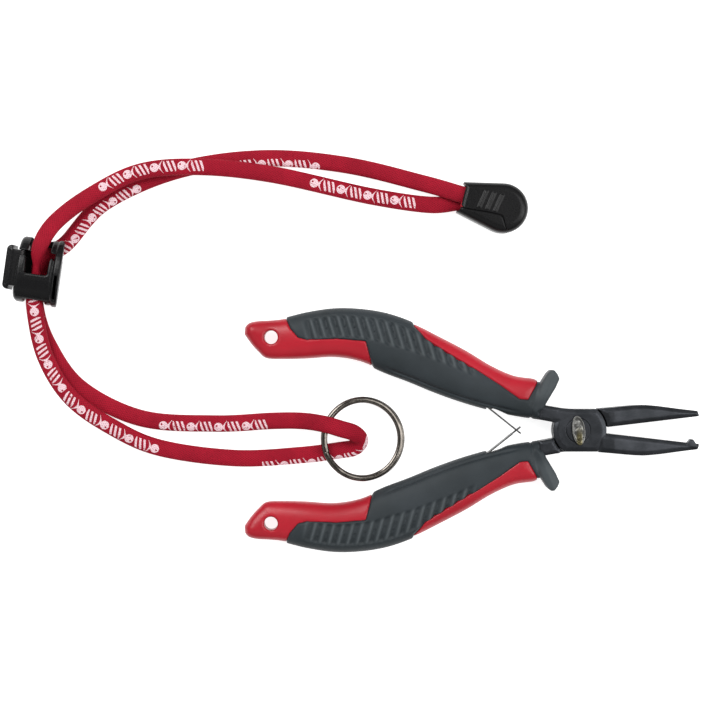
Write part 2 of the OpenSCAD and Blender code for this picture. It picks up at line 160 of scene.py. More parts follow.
def mesh_object(name, points_mm, faces, uv=None):
    """A smooth-shaded object from points in millimetres and faces of equal size."""
    mesh = bpy.data.meshes.new(name)
    faces = np.asarray(faces, np.int32)
    mesh.vertices.add(len(points_mm))
    mesh.vertices.foreach_set("co", (np.asarray(points_mm) * MM).astype(np.float32).ravel())
    mesh.loops.add(faces.size)
    mesh.loops.foreach_set("vertex_index", faces.ravel())
    mesh.polygons.add(len(faces))
    starts = np.arange(0, faces.size, faces.shape[1], dtype=np.int32)
    mesh.polygons.foreach_set("loop_start", starts)
    mesh.polygons.foreach_set("use_smooth", np.ones(len(faces), bool))
    for layer, values in (uv or {}).items():
        mesh.uv_layers.new(name=layer).data.foreach_set("uv", values.astype(np.float32).ravel())
    mesh.update(calc_edges=True)
    piece = bpy.data.objects.new(name, mesh)
    bpy.context.scene.collection.objects.link(piece)
    return piece


CORNERS = np.array([[i, j, k] for i in (0, 1) for j in (0, 1) for k in (0, 1)])
# How often points are drawn onto the surface, and how far at once, in grid steps
SETTLE_ROUNDS, MAX_MOVE = 2, 0.4
TINY = 1e-9


def sampled(values, points):
    """Values of a grid at points between its own, in grid steps."""
    base = np.clip(np.floor(points).astype(int), 0, np.array(values.shape) - 2)
    part = points - base
    total = 0
    for corner in CORNERS:
        weight = np.prod(np.where(corner, part, 1 - part), axis=1)
        total = total + weight * values[tuple((base + corner).T)]
    return total


def cell_points(values, inside):
    """One point in each cell that the surface crosses, with the number of each cell's point."""
    shape = np.array(inside.shape)
    filled = sum(
        inside[i:shape[0] - 1 + i, j:shape[1] - 1 + j, k:shape[2] - 1 + k].astype(np.int8)
        for i, j, k in CORNERS
    )
    cells = np.argwhere((filled > 0) & (filled < len(CORNERS)))
    number = np.full(filled.shape, -1, np.int32)
    number[tuple(cells.T)] = np.arange(len(cells))
    at_corner = values[tuple((cells[:, None] + CORNERS[None]).transpose(2, 0, 1))]
    total, count = np.zeros((len(cells), 3)), np.zeros(len(cells))
    for a, corner in enumerate(CORNERS):
        for axis in range(3):
            if corner[axis]:
                continue
            b = a + (4, 2, 1)[axis]
            crossed = (at_corner[:, a] < 0) != (at_corner[:, b] < 0)
            first, second = at_corner[crossed, a], at_corner[crossed, b]
            total[crossed] += corner
            total[crossed, axis] += first / (first - second)
            count[crossed] += 1
    return cells + total / count[:, None], number


def grid_faces(inside, number):
    """A face across each grid edge that the surface crosses, turned outward."""
    faces = []
    for axis in range(3):
        b, c = (axis + 1) % 3, (axis + 2) % 3
        near, far = [slice(1, -1)] * 3, [slice(1, -1)] * 3
        near[axis], far[axis] = slice(0, -1), slice(1, None)
        edges = np.argwhere(inside[tuple(near)] != inside[tuple(far)])
        edges[:, b] += 1
        edges[:, c] += 1
        outward = inside[tuple(edges.T)]
        corners = []
        for db, dc in ((-1, -1), (0, -1), (0, 0), (-1, 0)):
            cell = edges.copy()
            cell[:, b] += db
            cell[:, c] += dc
            corners.append(number[tuple(cell.T)])
        quads = np.stack(corners, axis=1)
        quads[~outward] = quads[~outward][:, ::-1]
        faces.append(quads)
    return np.concatenate(faces)


def skin(field, low, high, step):
    """Points and faces of the surface where a field is zero, inside the box from low to high."""
    x, y, z = (np.arange(a, b + step, step) for a, b in zip(low, high))
    shape = (len(x), len(y), len(z))
    values = np.broadcast_to(field(x[:, None, None], y[None, :, None], z[None, None, :]), shape)
    inside = values < 0
    points, number = cell_points(values, inside)
    for _ in range(SETTLE_ROUNDS):
        value = sampled(values, points)
        slope = np.stack(
            [sampled(values, points + s) - sampled(values, points - s) for s in np.eye(3) / 2], 1
        )
        move = value[:, None] * slope / np.maximum((slope**2).sum(1), TINY)[:, None]
        points = points - np.clip(move, -MAX_MOVE, MAX_MOVE)
    return points * step + np.array(low), grid_faces(inside, number)


def mirrored(points, faces):
    """The same shape on the other side of the pliers' centre line."""
    return points * np.array([1, -1, 1]), faces[:, ::-1]


def tube(name, centres, sides, ups, section, uv=None):
    """A closed sweep: the section's columns are laid out along sides and ups at each centre."""
    rings, around = len(centres), len(section)
    points = (
        centres[:, None]
        + section[None, :, 0, None] * sides[:, None]
        + section[None, :, 1, None] * ups[:, None]
    ).reshape(-1, 3)
    i, j = (v.ravel() for v in np.meshgrid(np.arange(rings - 1), np.arange(around), indexing="ij"))
    nxt = (j + 1) % around
    this, ahead = i * around, (i + 1) * around
    faces = np.stack([this + j, this + nxt, ahead + nxt, ahead + j], 1)
    caps = []
    for ring, step in ((0, -1), (rings - 1, 1)):
        for k in range(around // 2 - 1):
            quad = [ring * around + v % around for v in (-k, -k - 1, k + 2, k + 1)]
            caps.append(quad[::step])
    faces = np.concatenate([faces, np.array(caps)])
    layers = {}
    for layer, corner_values in (uv or {}).items():
        wall = np.stack([corner_values[i, 0, j], corner_values[i, 0, j + 1],
                         corner_values[i, 1, j + 1], corner_values[i, 1, j]], 1)
        caps_at = np.repeat([corner_values[0, 0, 0]], 4 * len(caps), 0)
        layers[layer] = np.concatenate([wall.reshape(-1, 2), caps_at])
    return mesh_object(name, points, faces, layers)


def superellipse(half_w, half_h, power, count):
    """A rounded section of count points, from the lowest point round by the side."""
    a = -np.pi / 2 + 2 * np.pi * np.arange(count) / count
    curve = lambda v: np.sign(v) * np.abs(v) ** (2 / power)
    return np.stack([half_w * curve(np.cos(a)), half_h * curve(np.sin(a))], 1)


def unit(v):
    return v / np.linalg.norm(v, axis=-1, keepdims=True)


# --- Materials ---


def tone(r, g, b):
    """A colour as it looks on screen, turned into the linear values that shaders take."""
    linear = [((v / 255 + 0.055) / 1.055) ** 2.4 if v > 10 else v / 3294 for v in (r, g, b)]
    return (*linear, 1)


RANGE_SOCKETS = ("From Min", "From Max", "To Min", "To Max")
NOISE_ROUGH = 0.55


class Term:
    """A number in a material's node tree, so that a pattern reads as a formula."""

    def __init__(self, tree, socket):
        self.tree, self.socket = tree, socket

    def apply(self, operation, *others):
        node = self.tree.nodes.new("ShaderNodeMath")
        node.operation = operation
        for slot, value in enumerate((self, *others)):
            if isinstance(value, Term):
                self.tree.links.new(value.socket, node.inputs[slot])
            else:
                node.inputs[slot].default_value = value
        return Term(self.tree, node.outputs[0])

    def __add__(self, other):
        return self.apply("ADD", other)

    def __sub__(self, other):
        return self.apply("SUBTRACT", other)

    def __mul__(self, other):
        return self.apply("MULTIPLY", other)

    def less(self, other):
        return self.apply("LESS_THAN", other)

    def near_zero(self, width, soft):
        """1 within width of zero, falling to 0 over a soft edge."""
        fall = (self.apply("ABSOLUTE") * -1 + (width + soft)) * (1 / soft)
        return fall.apply("MINIMUM", 1).apply("MAXIMUM", 0)


class Finish:
    """A material with one Principled shader, and the nodes that drive it."""

    def __init__(self, name, **values):
        self.material = bpy.data.materials.new(name)
        self.material.use_nodes = True
        self.tree = self.material.node_tree
        self.shader = self.tree.nodes["Principled BSDF"]
        for key, value in values.items():
            self.shader.inputs[key.replace("_", " ")].default_value = value

    def link(self, term, socket):
        source = term.socket if isinstance(term, Term) else term
        self.tree.links.new(source, self.shader.inputs[socket])

    def place(self, stretch=(1, 1, 1)):
        """Object coordinates in metres, stretched along each axis."""
        coords = self.tree.nodes.new("ShaderNodeTexCoord")
        mapping = self.tree.nodes.new("ShaderNodeMapping")
        mapping.inputs["Scale"].default_value = stretch
        self.tree.links.new(coords.outputs["Object"], mapping.inputs["Vector"])
        return mapping.outputs["Vector"]

    def axes(self, vector):
        split = self.tree.nodes.new("ShaderNodeSeparateXYZ")
        self.tree.links.new(vector, split.inputs[0])
        return [Term(self.tree, s) for s in split.outputs]

    def uv(self, layer):
        node = self.tree.nodes.new("ShaderNodeUVMap")
        node.uv_map = layer
        return self.axes(node.outputs[0])[:2]

    def noise(self, scale, vector=None, detail=3.0):
        node = self.tree.nodes.new("ShaderNodeTexNoise")
        node.inputs["Scale"].default_value = scale
        node.inputs["Detail"].default_value = detail
        node.inputs["Roughness"].default_value = NOISE_ROUGH
        self.tree.links.new(vector or self.place(), node.inputs["Vector"])
        return Term(self.tree, node.outputs["Fac"])

    def mix(self, share, first, second):
        node = self.tree.nodes.new("ShaderNodeMix")
        node.data_type = "RGBA"
        self.tree.links.new(share.socket, node.inputs[0])
        for slot, value in ((6, first), (7, second)):
            if isinstance(value, tuple):
                node.inputs[slot].default_value = value
            else:
                self.tree.links.new(value, node.inputs[slot])
        return node.outputs[2]

    def spread(self, term, low, high, low_out=0.0, high_out=1.0):
        node = self.tree.nodes.new("ShaderNodeMapRange")
        for slot, value in zip(RANGE_SOCKETS, (low, high, low_out, high_out)):
            node.inputs[slot].default_value = value
        self.tree.links.new(term.socket, node.inputs["Value"])
        return Term(self.tree, node.outputs[0])

    def wear(self, attribute, colour):
        """Mixes a colour in where the mesh's attribute is high."""
        node = self.tree.nodes.new("ShaderNodeAttribute")
        node.attribute_name = attribute
        under = self.shader.inputs["Base Color"].links[0].from_socket
        self.link(self.mix(Term(self.tree, node.outputs["Fac"]), under, colour), "Base Color")

    def bump(self, height, depth_mm, strength=1.0):
        node = self.tree.nodes.new("ShaderNodeBump")
        node.inputs["Distance"].default_value = depth_mm * MM
        node.inputs["Strength"].default_value = strength
        self.tree.links.new(height.socket, node.inputs["Height"])
        self.tree.links.new(node.outputs[0], self.shader.inputs["Normal"])


# Noise features per metre: colour clouds, scratches, worn areas, strands' tints, missing print
CLOUDS, SCRATCHES, WORN, TINTS, FRAYS = 70, 900, 160, 120, 700
# The range that most of a noise's values lie in
NOISE_LOW, NOISE_HIGH = 0.3, 0.7
WORN_LOW, SCRATCH_SHARE, SCRATCH_DEPTH = 0.35, 0.5, 0.012


def moulded(name, dark, light, rough, grain_mm, depth_mm, **values):
    """Plastic or rubber: cloudy colour, uneven gloss and a fine grain."""
    uneven = 0.06
    made = Finish(name, **values)
    clouds = made.spread(made.noise(CLOUDS), NOISE_LOW, NOISE_HIGH)
    made.link(made.mix(clouds, dark, light), "Base Color")
    grain = made.noise(1 / (grain_mm * MM), detail=2)
    gloss = made.spread(grain, NOISE_LOW, NOISE_HIGH, rough - uneven, rough + uneven)
    made.link(gloss, "Roughness")
    made.bump(grain, depth_mm)
    return made


def brushed(name, dark, light, rough, stretch, **values):
    """Metal with fine scratches along one direction, and cloudy worn patches."""
    smoother, rougher = 0.08, 0.1
    made = Finish(name, Metallic=1.0, **values)
    lines = made.noise(SCRATCHES, made.place(stretch), detail=4)
    wear = made.noise(WORN, detail=4) + (lines - 0.5) * SCRATCH_SHARE
    made.link(made.mix(made.spread(wear, WORN_LOW, NOISE_HIGH), dark, light), "Base Color")
    gloss = made.spread(lines, NOISE_LOW, NOISE_HIGH, rough - smoother, rough + rougher)
    made.link(gloss, "Roughness")
    made.bump(lines, SCRATCH_DEPTH)
    return made


FISH_MIDDLE, FISH_HALF_L, FISH_HALF_H = -0.55, 1.45, 1.5
EYE_X, EYE_Y, EYE_R_SQUARED = -1.15, 0.45, 0.1
TAIL_START, TAIL_SPREAD, TAIL_NOTCH, TAIL_END = 0.45, 1.2, 0.2, 1.5
BAR_PITCH, BAR_SLANT, BAR_SHIFT = 1.55, 0.35, 0.4
BAR_HALF_H, BARS_HALF_L = 1.8, 2.1


def fish_mark(x, b):
    """1 inside a small fish: an oval with an eye, and a notched tail."""
    oval = ((x - FISH_MIDDLE) * (1 / FISH_HALF_L)).apply("POWER", 2)
    oval = oval + (b * (1 / FISH_HALF_H)).apply("POWER", 2)
    eye = ((x - EYE_X).apply("POWER", 2) + (b - EYE_Y).apply("POWER", 2)).less(EYE_R_SQUARED)
    tail = (b.apply("ABSOLUTE") - (x - TAIL_START) * TAIL_SPREAD).less(0)
    tail = tail * (x - b * b * TAIL_NOTCH).less(TAIL_END)
    return (oval.less(1) - eye).apply("MAXIMUM", tail)


def bar_marks(x, b):
    """1 inside three short slanted bars."""
    bars = ((x + b * BAR_SLANT + BAR_SHIFT) * (1 / BAR_PITCH)).apply("FRACT").less(0.5)
    return bars * b.apply("ABSOLUTE").less(BAR_HALF_H) * x.apply("ABSOLUTE").less(BARS_HALF_L)


def cord_finish():
    """Flat braid: crossing strands raised by a bump, painted shade darkening their edges and the
    hollows between them, and pale printed rows of fish.
    """
    made = Finish("cord_braid", Specular_IOR_Level=0.15)
    along, around = made.uv("braid")
    turn = 2 * math.pi
    one = (along * (turn / BRAID_PITCH) + around * (turn * BRAID_STRANDS)).apply("SINE")
    two = (along * (turn / BRAID_PITCH) - around * (turn * BRAID_STRANDS)).apply("SINE")
    weave = one.apply("MAXIMUM", two)
    a, b = made.uv("print")
    cell = (a * (1 / MOTIF_PITCH)).apply("FLOOR")
    x = a - (cell + 0.5) * MOTIF_PITCH
    odd = (cell * 0.5).apply("FRACT").less(0.25)
    motif = fish_mark(x, b) * odd + bar_marks(x, b) * (odd * -1 + 1)
    frayed = made.spread(made.noise(FRAYS), 0.25, 0.4)
    printed = motif * a.near_zero(PRINT_HALF, 0.1) * frayed * made.spread(weave, -1, -0.4)
    tints = made.spread(made.noise(TINTS), NOISE_LOW, NOISE_HIGH)
    thread = made.mix(tints, tone(150, 14, 37), tone(170, 20, 44))
    # Painted shade: where the braid sinks between strands it is painted darker.
    shaded_weave = made.mix(made.spread(weave, -0.4, 0.5), tone(120, 10, 30), thread)
    made.link(made.mix(printed, shaded_weave, tone(238, 205, 212)), "Base Color")
    made.link(made.spread(printed, 0, 1, 0.72, 0.55), "Roughness")
    made.bump(weave, 0.06, 0.7)
    return made


def badge_finish():
    """Silver with a worn gilt patch low in its middle."""
    made = brushed("badge_metal", tone(96, 96, 94), tone(134, 134, 131), 0.32, (1, 4, 1))
    x, y, _ = made.axes(made.place())
    patch_top, patch_x, patch_half, patch_soft = 1.5 * MM, 0.3, 0.6 * MM, 0.7 * MM
    low = made.spread(y, patch_top, -patch_top)
    middle = (x - (PIVOT_X + patch_x) * MM).near_zero(patch_half, patch_soft)
    silver = made.shader.inputs["Base Color"].links[0].from_socket
    made.link(made.mix(low * middle, silver, tone(96, 90, 66)), "Base Color")
    return made


def paint(piece, finish):
    piece.data.materials.clear()
    piece.data.materials.append(finish.material)


def add(name, shape, finish, body, slot, *nodes):
    """Makes a piece from points and faces, and says what it rides on and stands for."""
    piece = mesh_object(name, *shape)
    return settle(piece, finish, body, slot, *nodes)


def settle(piece, finish, body, slot, *nodes):
    paint(piece, finish)
    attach(piece, body)
    if nodes:
        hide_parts(*nodes)
    return piece


BRAID_PITCH = 1.1
BRAID_STRANDS = 18
MOTIF_PITCH = 4.6
PRINT_HALF = 18.4

RED = moulded(
    "red_plastic", tone(164, 23, 38), tone(180, 28, 44), 0.34, 0.5, 0.01, Specular_IOR_Level=0.35
)
RUBBER = moulded(
    "grip_rubber", tone(40, 46, 49), tone(50, 56, 60), 0.55, 0.25, 0.03, Specular_IOR_Level=0.25
)
# Painted highlight: the grip's rib crests and its finger guard's tip are painted paler.
RUBBER.wear("painted_highlight", tone(74, 80, 83))
BLACK = moulded(
    "black_plastic", tone(12, 12, 13), tone(19, 19, 20), 0.3, 0.4, 0.015, Specular_IOR_Level=0.22
)
STEEL = brushed("dark_steel", tone(50, 52, 55), tone(66, 68, 72), 0.4, (1, 8, 1))
RIVET = brushed("rivet_steel", tone(50, 52, 55), tone(66, 68, 72), 0.4, (1, 8, 1))
SPRING = brushed("spring_steel", tone(78, 78, 78), tone(112, 112, 112), 0.35, (8, 1, 1))
BADGE = badge_finish()
RING = brushed("ring_metal", tone(76, 72, 68), tone(128, 122, 115), 0.14, (2, 2, 2))
CORD = cord_finish()


# --- Cord ---

CORD_ROUTE = [
    [1.6, 77.2, 5.8], [-4, 78.8, 5.7], [-15.5, 82.4, 2.6], [-42, 88.8, 1.5],
    [-70, 91, 1.5], [-98.3, 86.9, 1.5], [-122.7, 76.2, 1.5], [-135.6, 62.4, 1.8],
    [-142.8, 57.6, 3.5], [-144.6, 50, 3.7], [-145.6, 41, 3.3], [-141.6, 28.4, 1.5],
    [-131, 14, 1.5], [-110.5, 3.8, 1.5], [-85.5, 2, 1.5], [-66.5, 2.9, 1.9],
    [-56.5, 3, 4.8], [-49.3, 2.1, 7.9], [-43.2, 0.4, 8], [-39, -1, 6.7],
    [-37, -3.5, 4.6], [-39, -6, 2.6], [-43.4, -6.9, 1.6], [-57, -8.6, 1.5],
    [-79, -9.6, 1.5], [-104, -6.2, 1.5], [-119.8, 0.8, 3.4], [-133.6, 10.8, 4.8],
    [-142.2, 24.6, 4.9], [-145.4, 40.6, 6.7], [-144.8, 49.5, 7.2], [-144.4, 54.2, 8.5],
    [-143.2, 60.4, 11], [-138.4, 69, 8], [-126.9, 78.3, 4.8], [-110.5, 86.2, 4.7],
    [-90.5, 87.8, 4.9], [-66, 85.3, 3.8], [-34, 78.4, 1.5], [-14, 75.4, 1.5],
    [-4, 76.1, 2.4], [1.4, 74.9, 2.5],
]
CORD_W, CORD_T, CORD_POWER = 5.6, 3.0, 2.3
CORD_STEPS = 16
CORD_SIDES = 28
# Where the lock pinches the cord, over what length, and by what share of its width
PINCH_AT, PINCH_LENGTH, PINCH = (-144.4, 54.2, 8.5), 5.5, 0.55
# Each printed row: where its middle lies along the cord, and how far it is off the cord's middle
PRINT_ROWS = [
    (72, 2.2), (134, 1.4), (253, -1.2), (323, 3.0), (394, 0.6), (431, 0), (511, 0.3), (583, 0),
]


def add_cord():
    centres = smooth(CORD_ROUTE, CORD_STEPS)
    centres[:, 2] = np.maximum(centres[:, 2], CORD_T / 2)
    tangent = unit(np.gradient(centres, axis=0))
    side = unit(np.cross([0, 0, 1], tangent))
    up = np.cross(tangent, side)
    section = superellipse(CORD_W / 2, CORD_T / 2, CORD_POWER, CORD_SIDES)
    length = np.r_[0, np.cumsum(np.linalg.norm(np.diff(centres, axis=0), axis=1))]
    pinch_at = length[np.linalg.norm(centres - PINCH_AT, axis=1).argmin()]
    squeeze = 1 - PINCH * np.exp(-(((length - pinch_at) / PINCH_LENGTH) ** 2))
    hem = np.vstack([section, section[:1]])
    round_it = np.r_[0, np.cumsum(np.linalg.norm(np.diff(hem, axis=0), axis=1))]
    ends = np.stack([length[:-1], length[1:]], 1)
    braid = np.stack(np.broadcast_arrays(ends[:, :, None], round_it / round_it[-1]), 3)
    middle, offset = np.array(PRINT_ROWS, float).T
    row = np.abs(ends[:, :1] - middle).argmin(1)
    across = round_it[-1] / 2 - round_it - offset[row][:, None, None]
    marks = np.stack(np.broadcast_arrays((ends - middle[row][:, None])[:, :, None], across), 3)
    layers = {"braid": braid, "print": marks}
    piece = tube("lanyard_cord_braid", centres, side * squeeze[:, None], up, section, layers)
    settle(piece, CORD, "lanyard", "cord_fabric", "lanyard_cord")
    return piece, centres, float(length[-1])


cord, cord_path, cord_length = add_cord()


# --- Handles ---

HANDLE_STATIONS = [
    [[-110.9, 34.4], [-111.1, 31.8], 9], [[-109.4, 35.9], [-109, 28.8], 9],
    [[-106.2, 36.7], [-106.4, 25.8], 9], [[-102, 37], [-103.6, 23.5], 9],
    [[-97.5, 37.5], [-98, 23.2], 10], [[-90, 39.3], [-90, 23.4], 11.4],
    [[-81, 40.6], [-81, 23.9], 12], [[-72, 40.4], [-72.5, 22.5], 12],
    [[-63, 38.9], [-64, 18.9], 12], [[-54, 35.7], [-56, 15.9], 12],
    [[-45, 31.2], [-48, 12.6], 12], [[-36.5, 26.7], [-40, 9.7], 11.6],
    [[-28.5, 21.8], [-32, 7.3], 11.2], [[-21, 18.5], [-22.5, 5], 10.8],
    [[-14.2, 17.4], [-14.5, 3.7], 10.6], [[-12.4, 15.6], [-11.3, 3.3], 10.4],
]
TAIL_RED = [
    [-120, 20], [-120, 44], [-97.3, 44], [-97.3, 37.6], [-95.7, 33.8], [-93, 30.6],
    [-90, 29.8], [-80, 30.2], [-70.6, 29.4], [-68.3, 20.8], [-68.3, 14],
]
FORE_RED = [
    [-54.6, 44], [-54.2, 34.6], [-50, 30.2], [-42, 25.2], [-34, 20.4], [-26, 15.3], [-19.4, 10.6],
    [-16.8, 10.4], [-12.8, 17.2], [-12.4, 30],
]
FINGER_GUARD = [
    [-13.6, 12], [-12.0, 16.2], [-10.2, 19], [-9, 20.1], [-7.9, 20], [-6.8, 18.7], [-6.1, 17.1],
    [-7.4, 14.2], [-10.7, 8.8], [-11.3, 7], [-14.5, 6],
]
SPRING_NOTCH = [[-30.6, 6.4], [-28.8, 7.3], [-25.2, 6.1], [-23.4, 4.6], [-30.6, 2]]
TAIL_HOLE, TAIL_HOLE_R = (-101.9, 30.9), 2.25
SECTION_POWER = 2.5
GRIP_COVER = 1.1
RED_STEP = 0.3
# Ribs: a smooth band along the back, how wide the ribbed part is, and where it fades at both ends
RIB_BACK, RIB_FADE = (2.2, 3.6), 1.2
RIB_REACH = ([-90, -62, -34], [8.6, 9.4, 5.6])
RIB_TAIL, RIB_FRONT = (-92.5, -88.5), (-36.5, -33)
RIB_PITCH, RIB_LEAN, RIB_LEVEL, RIB_DEPTH, RIB_POWER = 3.1, 0.28, 30, 0.75, 0.8
# A crease along the inner edge, and one across the collar before the joint
CREASE_IN, CREASE_HALF, CREASE_DEPTH = 1.8, 0.35, 0.4
CREASE_TAIL, CREASE_FRONT = (-66, -60), (-24, -18)
COLLAR_X, COLLAR_Y, COLLAR_LEAN, COLLAR_HALF, COLLAR_DEPTH = 15.3, 6, 0.1, 0.4, 0.35
COLLAR_END = (8, 10)
GUARD_HALF, GUARD_EDGE_R, GUARD_RIDGE = 4.9, 0.8, 0.34
GUARD_X, GUARD_Y, GUARD_ACROSS = 12.2, 9.5, (0.92, 0.39)
# A painted highlight on the finger guard: its strength, where it fades in from the edge, and where
# it fades in towards the tip
GUARD_HIGHLIGHT, HIGHLIGHT_EDGE, HIGHLIGHT_TIP = 0.75, (-0.9, -0.3), (8.5, 13)
RED_INSET, RED_ROUND, NOTCH_ROUND, HOLE_ROUND = 0.12, 0.9, 0.6, 0.9
SLOT_REACH = 8
LEAF_ROOT = (-28.97, 8.36)
LEAF_ANGLE, LEAF_BEND = -38.5, 14
LEAF_EYE_R, LEAF_T, LEAF_L, LEAF_W = 1.35, 0.5, 13.8, 4.4
LEAF_ROOM = 0.35
LEAF_SPLIT, FORK_HALF, TONGUE_HALF = 10.2, 1.2, 0.9

OUTER_EDGE = smooth([s[0] for s in HANDLE_STATIONS], 5)
INNER_EDGE = smooth([s[1] for s in HANDLE_STATIONS], 5)
HANDLE_OUTLINE = np.vstack([OUTER_EDGE, INNER_EDGE[::-1]])
STATION_X = (OUTER_EDGE[:, 0] + INNER_EDGE[:, 0]) / 2
STATION_HALF = np.maximum(np.linalg.norm(OUTER_EDGE - INNER_EDGE, axis=1) / 2, 4.5)
STATION_T = np.minimum(smooth([[s[2]] for s in HANDLE_STATIONS], 5)[:, 0], 12)


def handle_form(x, y, z):
    """The whole handle: a rounded section over its outline, fullest at its middle."""
    edge = outline_distance(HANDLE_OUTLINE, x, y)
    half = np.interp(x, STATION_X, STATION_HALF)
    tall = np.interp(x, STATION_X, STATION_T) / 2
    across = np.maximum(1 + edge / half, 0) ** SECTION_POWER
    height = (np.abs(z - MID_Z) / tall) ** SECTION_POWER
    return ((across + height) ** (1 / SECTION_POWER) - 1) * np.minimum(half, tall)


def red_zone(x, y):
    return np.minimum(outline_distance(TAIL_RED, x, y), outline_distance(FORE_RED, x, y))


def rib_zone(x, y):
    """Where the grip has ribs: below a smooth band along the handle's back."""
    back = line_distance(OUTER_EDGE, x, y)
    reach = np.interp(x, *RIB_REACH)
    zone = ramp(*RIB_BACK, back) * (1 - ramp(0, RIB_FADE, back - reach))
    return zone * ramp(*RIB_TAIL, x) * (1 - ramp(*RIB_FRONT, x))


def rib_wave(x, y):
    """From 0 on the short slanted ribs to 1 in the grooves between them."""
    phase = (x + RIB_LEAN * (y - RIB_LEVEL)) / RIB_PITCH
    return (0.5 - 0.5 * np.cos(2 * np.pi * phase)) ** RIB_POWER


def spring_room(x, y, z):
    """The slot where the leaf spring's eye sits and its strip swings."""
    rest = math.radians(LEAF_ANGLE)
    bent = math.radians(LEAF_ANGLE + LEAF_BEND)
    root = np.array(LEAF_ROOT)
    below = root + (LEAF_EYE_R + LEAF_ROOM) * np.array([math.sin(rest), -math.cos(rest)])
    above = root + (LEAF_EYE_R - LEAF_T - LEAF_ROOM) * np.array([math.sin(bent), -math.cos(bent)])
    ends = [
        start + SLOT_REACH * np.array([math.cos(a), math.sin(a)])
        for start, a in ((below, rest), (above, bent))
    ]
    wedge = outline_distance([below, *ends, above], x, y)
    eye = np.hypot(x - root[0], y - root[1]) - LEAF_EYE_R - LEAF_ROOM
    return np.maximum(np.minimum(wedge, eye), np.abs(z - MID_Z) - LEAF_W / 2 - LEAF_ROOM)


def guard(x, y, z):
    """The finger guard: a leaf with a low ridge along its middle."""
    flat = outline_distance(FINGER_GUARD, x, y)
    off = np.abs((x + GUARD_X) * GUARD_ACROSS[0] - (y - GUARD_Y) * GUARD_ACROSS[1])
    return rounded(flat, np.abs(z - MID_Z) - GUARD_HALF + GUARD_RIDGE * off, GUARD_EDGE_R)


def guard_highlight(x, y):
    """Painted highlight: the finger guard's top is painted paler towards its tip."""
    depth = -outline_distance(FINGER_GUARD, x, y)
    return GUARD_HIGHLIGHT * ramp(*HIGHLIGHT_EDGE, depth) * ramp(*HIGHLIGHT_TIP, y)


def groove(distance, half):
    """1 in the middle of a soft groove, falling to 0 beside it."""
    return np.exp(-((distance / half) ** 2))


def grip_grooves(x, y):
    """The crease along the grip's inner edge and the one across its collar."""
    inner = line_distance(INNER_EDGE, x, y)
    crease = CREASE_DEPTH * groove(inner - CREASE_IN, CREASE_HALF)
    crease = crease * ramp(*CREASE_TAIL, x) * (1 - ramp(*CREASE_FRONT, x))
    off = x + COLLAR_X - COLLAR_LEAN * (y - COLLAR_Y)
    collar = COLLAR_DEPTH * groove(off, COLLAR_HALF) * (1 - ramp(*COLLAR_END, y))
    return crease, collar


def grip_field(x, y, z):
    """The soft overmould: a shell with ribs, grooves and the finger guard, open over the red."""
    form = handle_form(x, y, z)
    crease, collar = grip_grooves(x, y)
    body = form + RIB_DEPTH * rib_zone(x, y) * rib_wave(x, y) + crease + collar
    body = smooth_max(body, -outline_distance(SPRING_NOTCH, x, y), NOTCH_ROUND)
    body = smooth_max(body, RED_INSET - red_zone(x, y), RED_ROUND)
    body = np.maximum(body, -(form + GRIP_COVER))
    body = smooth_min(body, guard(x, y, z), GUARD_EDGE_R)
    return np.maximum(body, -spring_room(x, y, z))


def core_field(x, y, z):
    """The red core: full height in the red zones, sunk under the grip elsewhere."""
    form = handle_form(x, y, z)
    sunk = RED_STEP + (GRIP_COVER + 0.05 - RED_STEP) * ramp(0, 0.5, red_zone(x, y))
    body = form + sunk
    hole = np.hypot(x - TAIL_HOLE[0], y - TAIL_HOLE[1]) - TAIL_HOLE_R
    body = smooth_max(body, -hole, HOLE_ROUND)
    return np.maximum(body, -spring_room(x, y, z))


HANDLE_LOW, HANDLE_HIGH, HANDLE_STEP = (-112, 2, -0.4), (-5, 42.2, 12.4), 0.35


def add_handles():
    for field, label, finish, slot in (
        (core_field, "core", RED, "red_plastic"),
        (grip_field, "grip", RUBBER, "grip_rubber"),
    ):
        points, faces = skin(field, HANDLE_LOW, HANDLE_HIGH, HANDLE_STEP)
        x, y = points[:, 0], points[:, 1]
        # Painted highlight: a share for paler rib crests and a paler finger guard tip, kept on each
        # point.
        painted_highlight = rib_zone(x, y) * (1 - rib_wave(x, y)) ** 2 + guard_highlight(x, y)
        points = points + np.array([PIVOT_X, 0, 0])
        for side, body, shape in (
            ("upper", "front_half", (points, faces)),
            ("lower", "rear_half", mirrored(points, faces)),
        ):
            piece = add(f"{side}_{label}", shape, finish, body, slot, f"{side}_handle_{label}")
            values = piece.data.attributes.new("painted_highlight", "FLOAT", "POINT").data
            values.foreach_set("value", painted_highlight.astype(np.float32))


# --- Steel halves ---

STEEL_EDGE = smooth([
    [-13, 8.7], [-6, 7.5], [0, 7], [5, 7.1], [10, 7.5], [20, 8.35], [26, 8.1], [34, 7.1], [40, 6.4],
], 5)
JAW_ANGLE, JAW_L = 6.5, 40.5
HUB_LEFT_R, HUB_RIGHT_R, HUB_HALF = 8.3, 9.4, 7.05
TANG_START_R, JAW_START_R = 8.6, 9.7
JOINT_T, PLATE_GAP = 8.4, 0.06
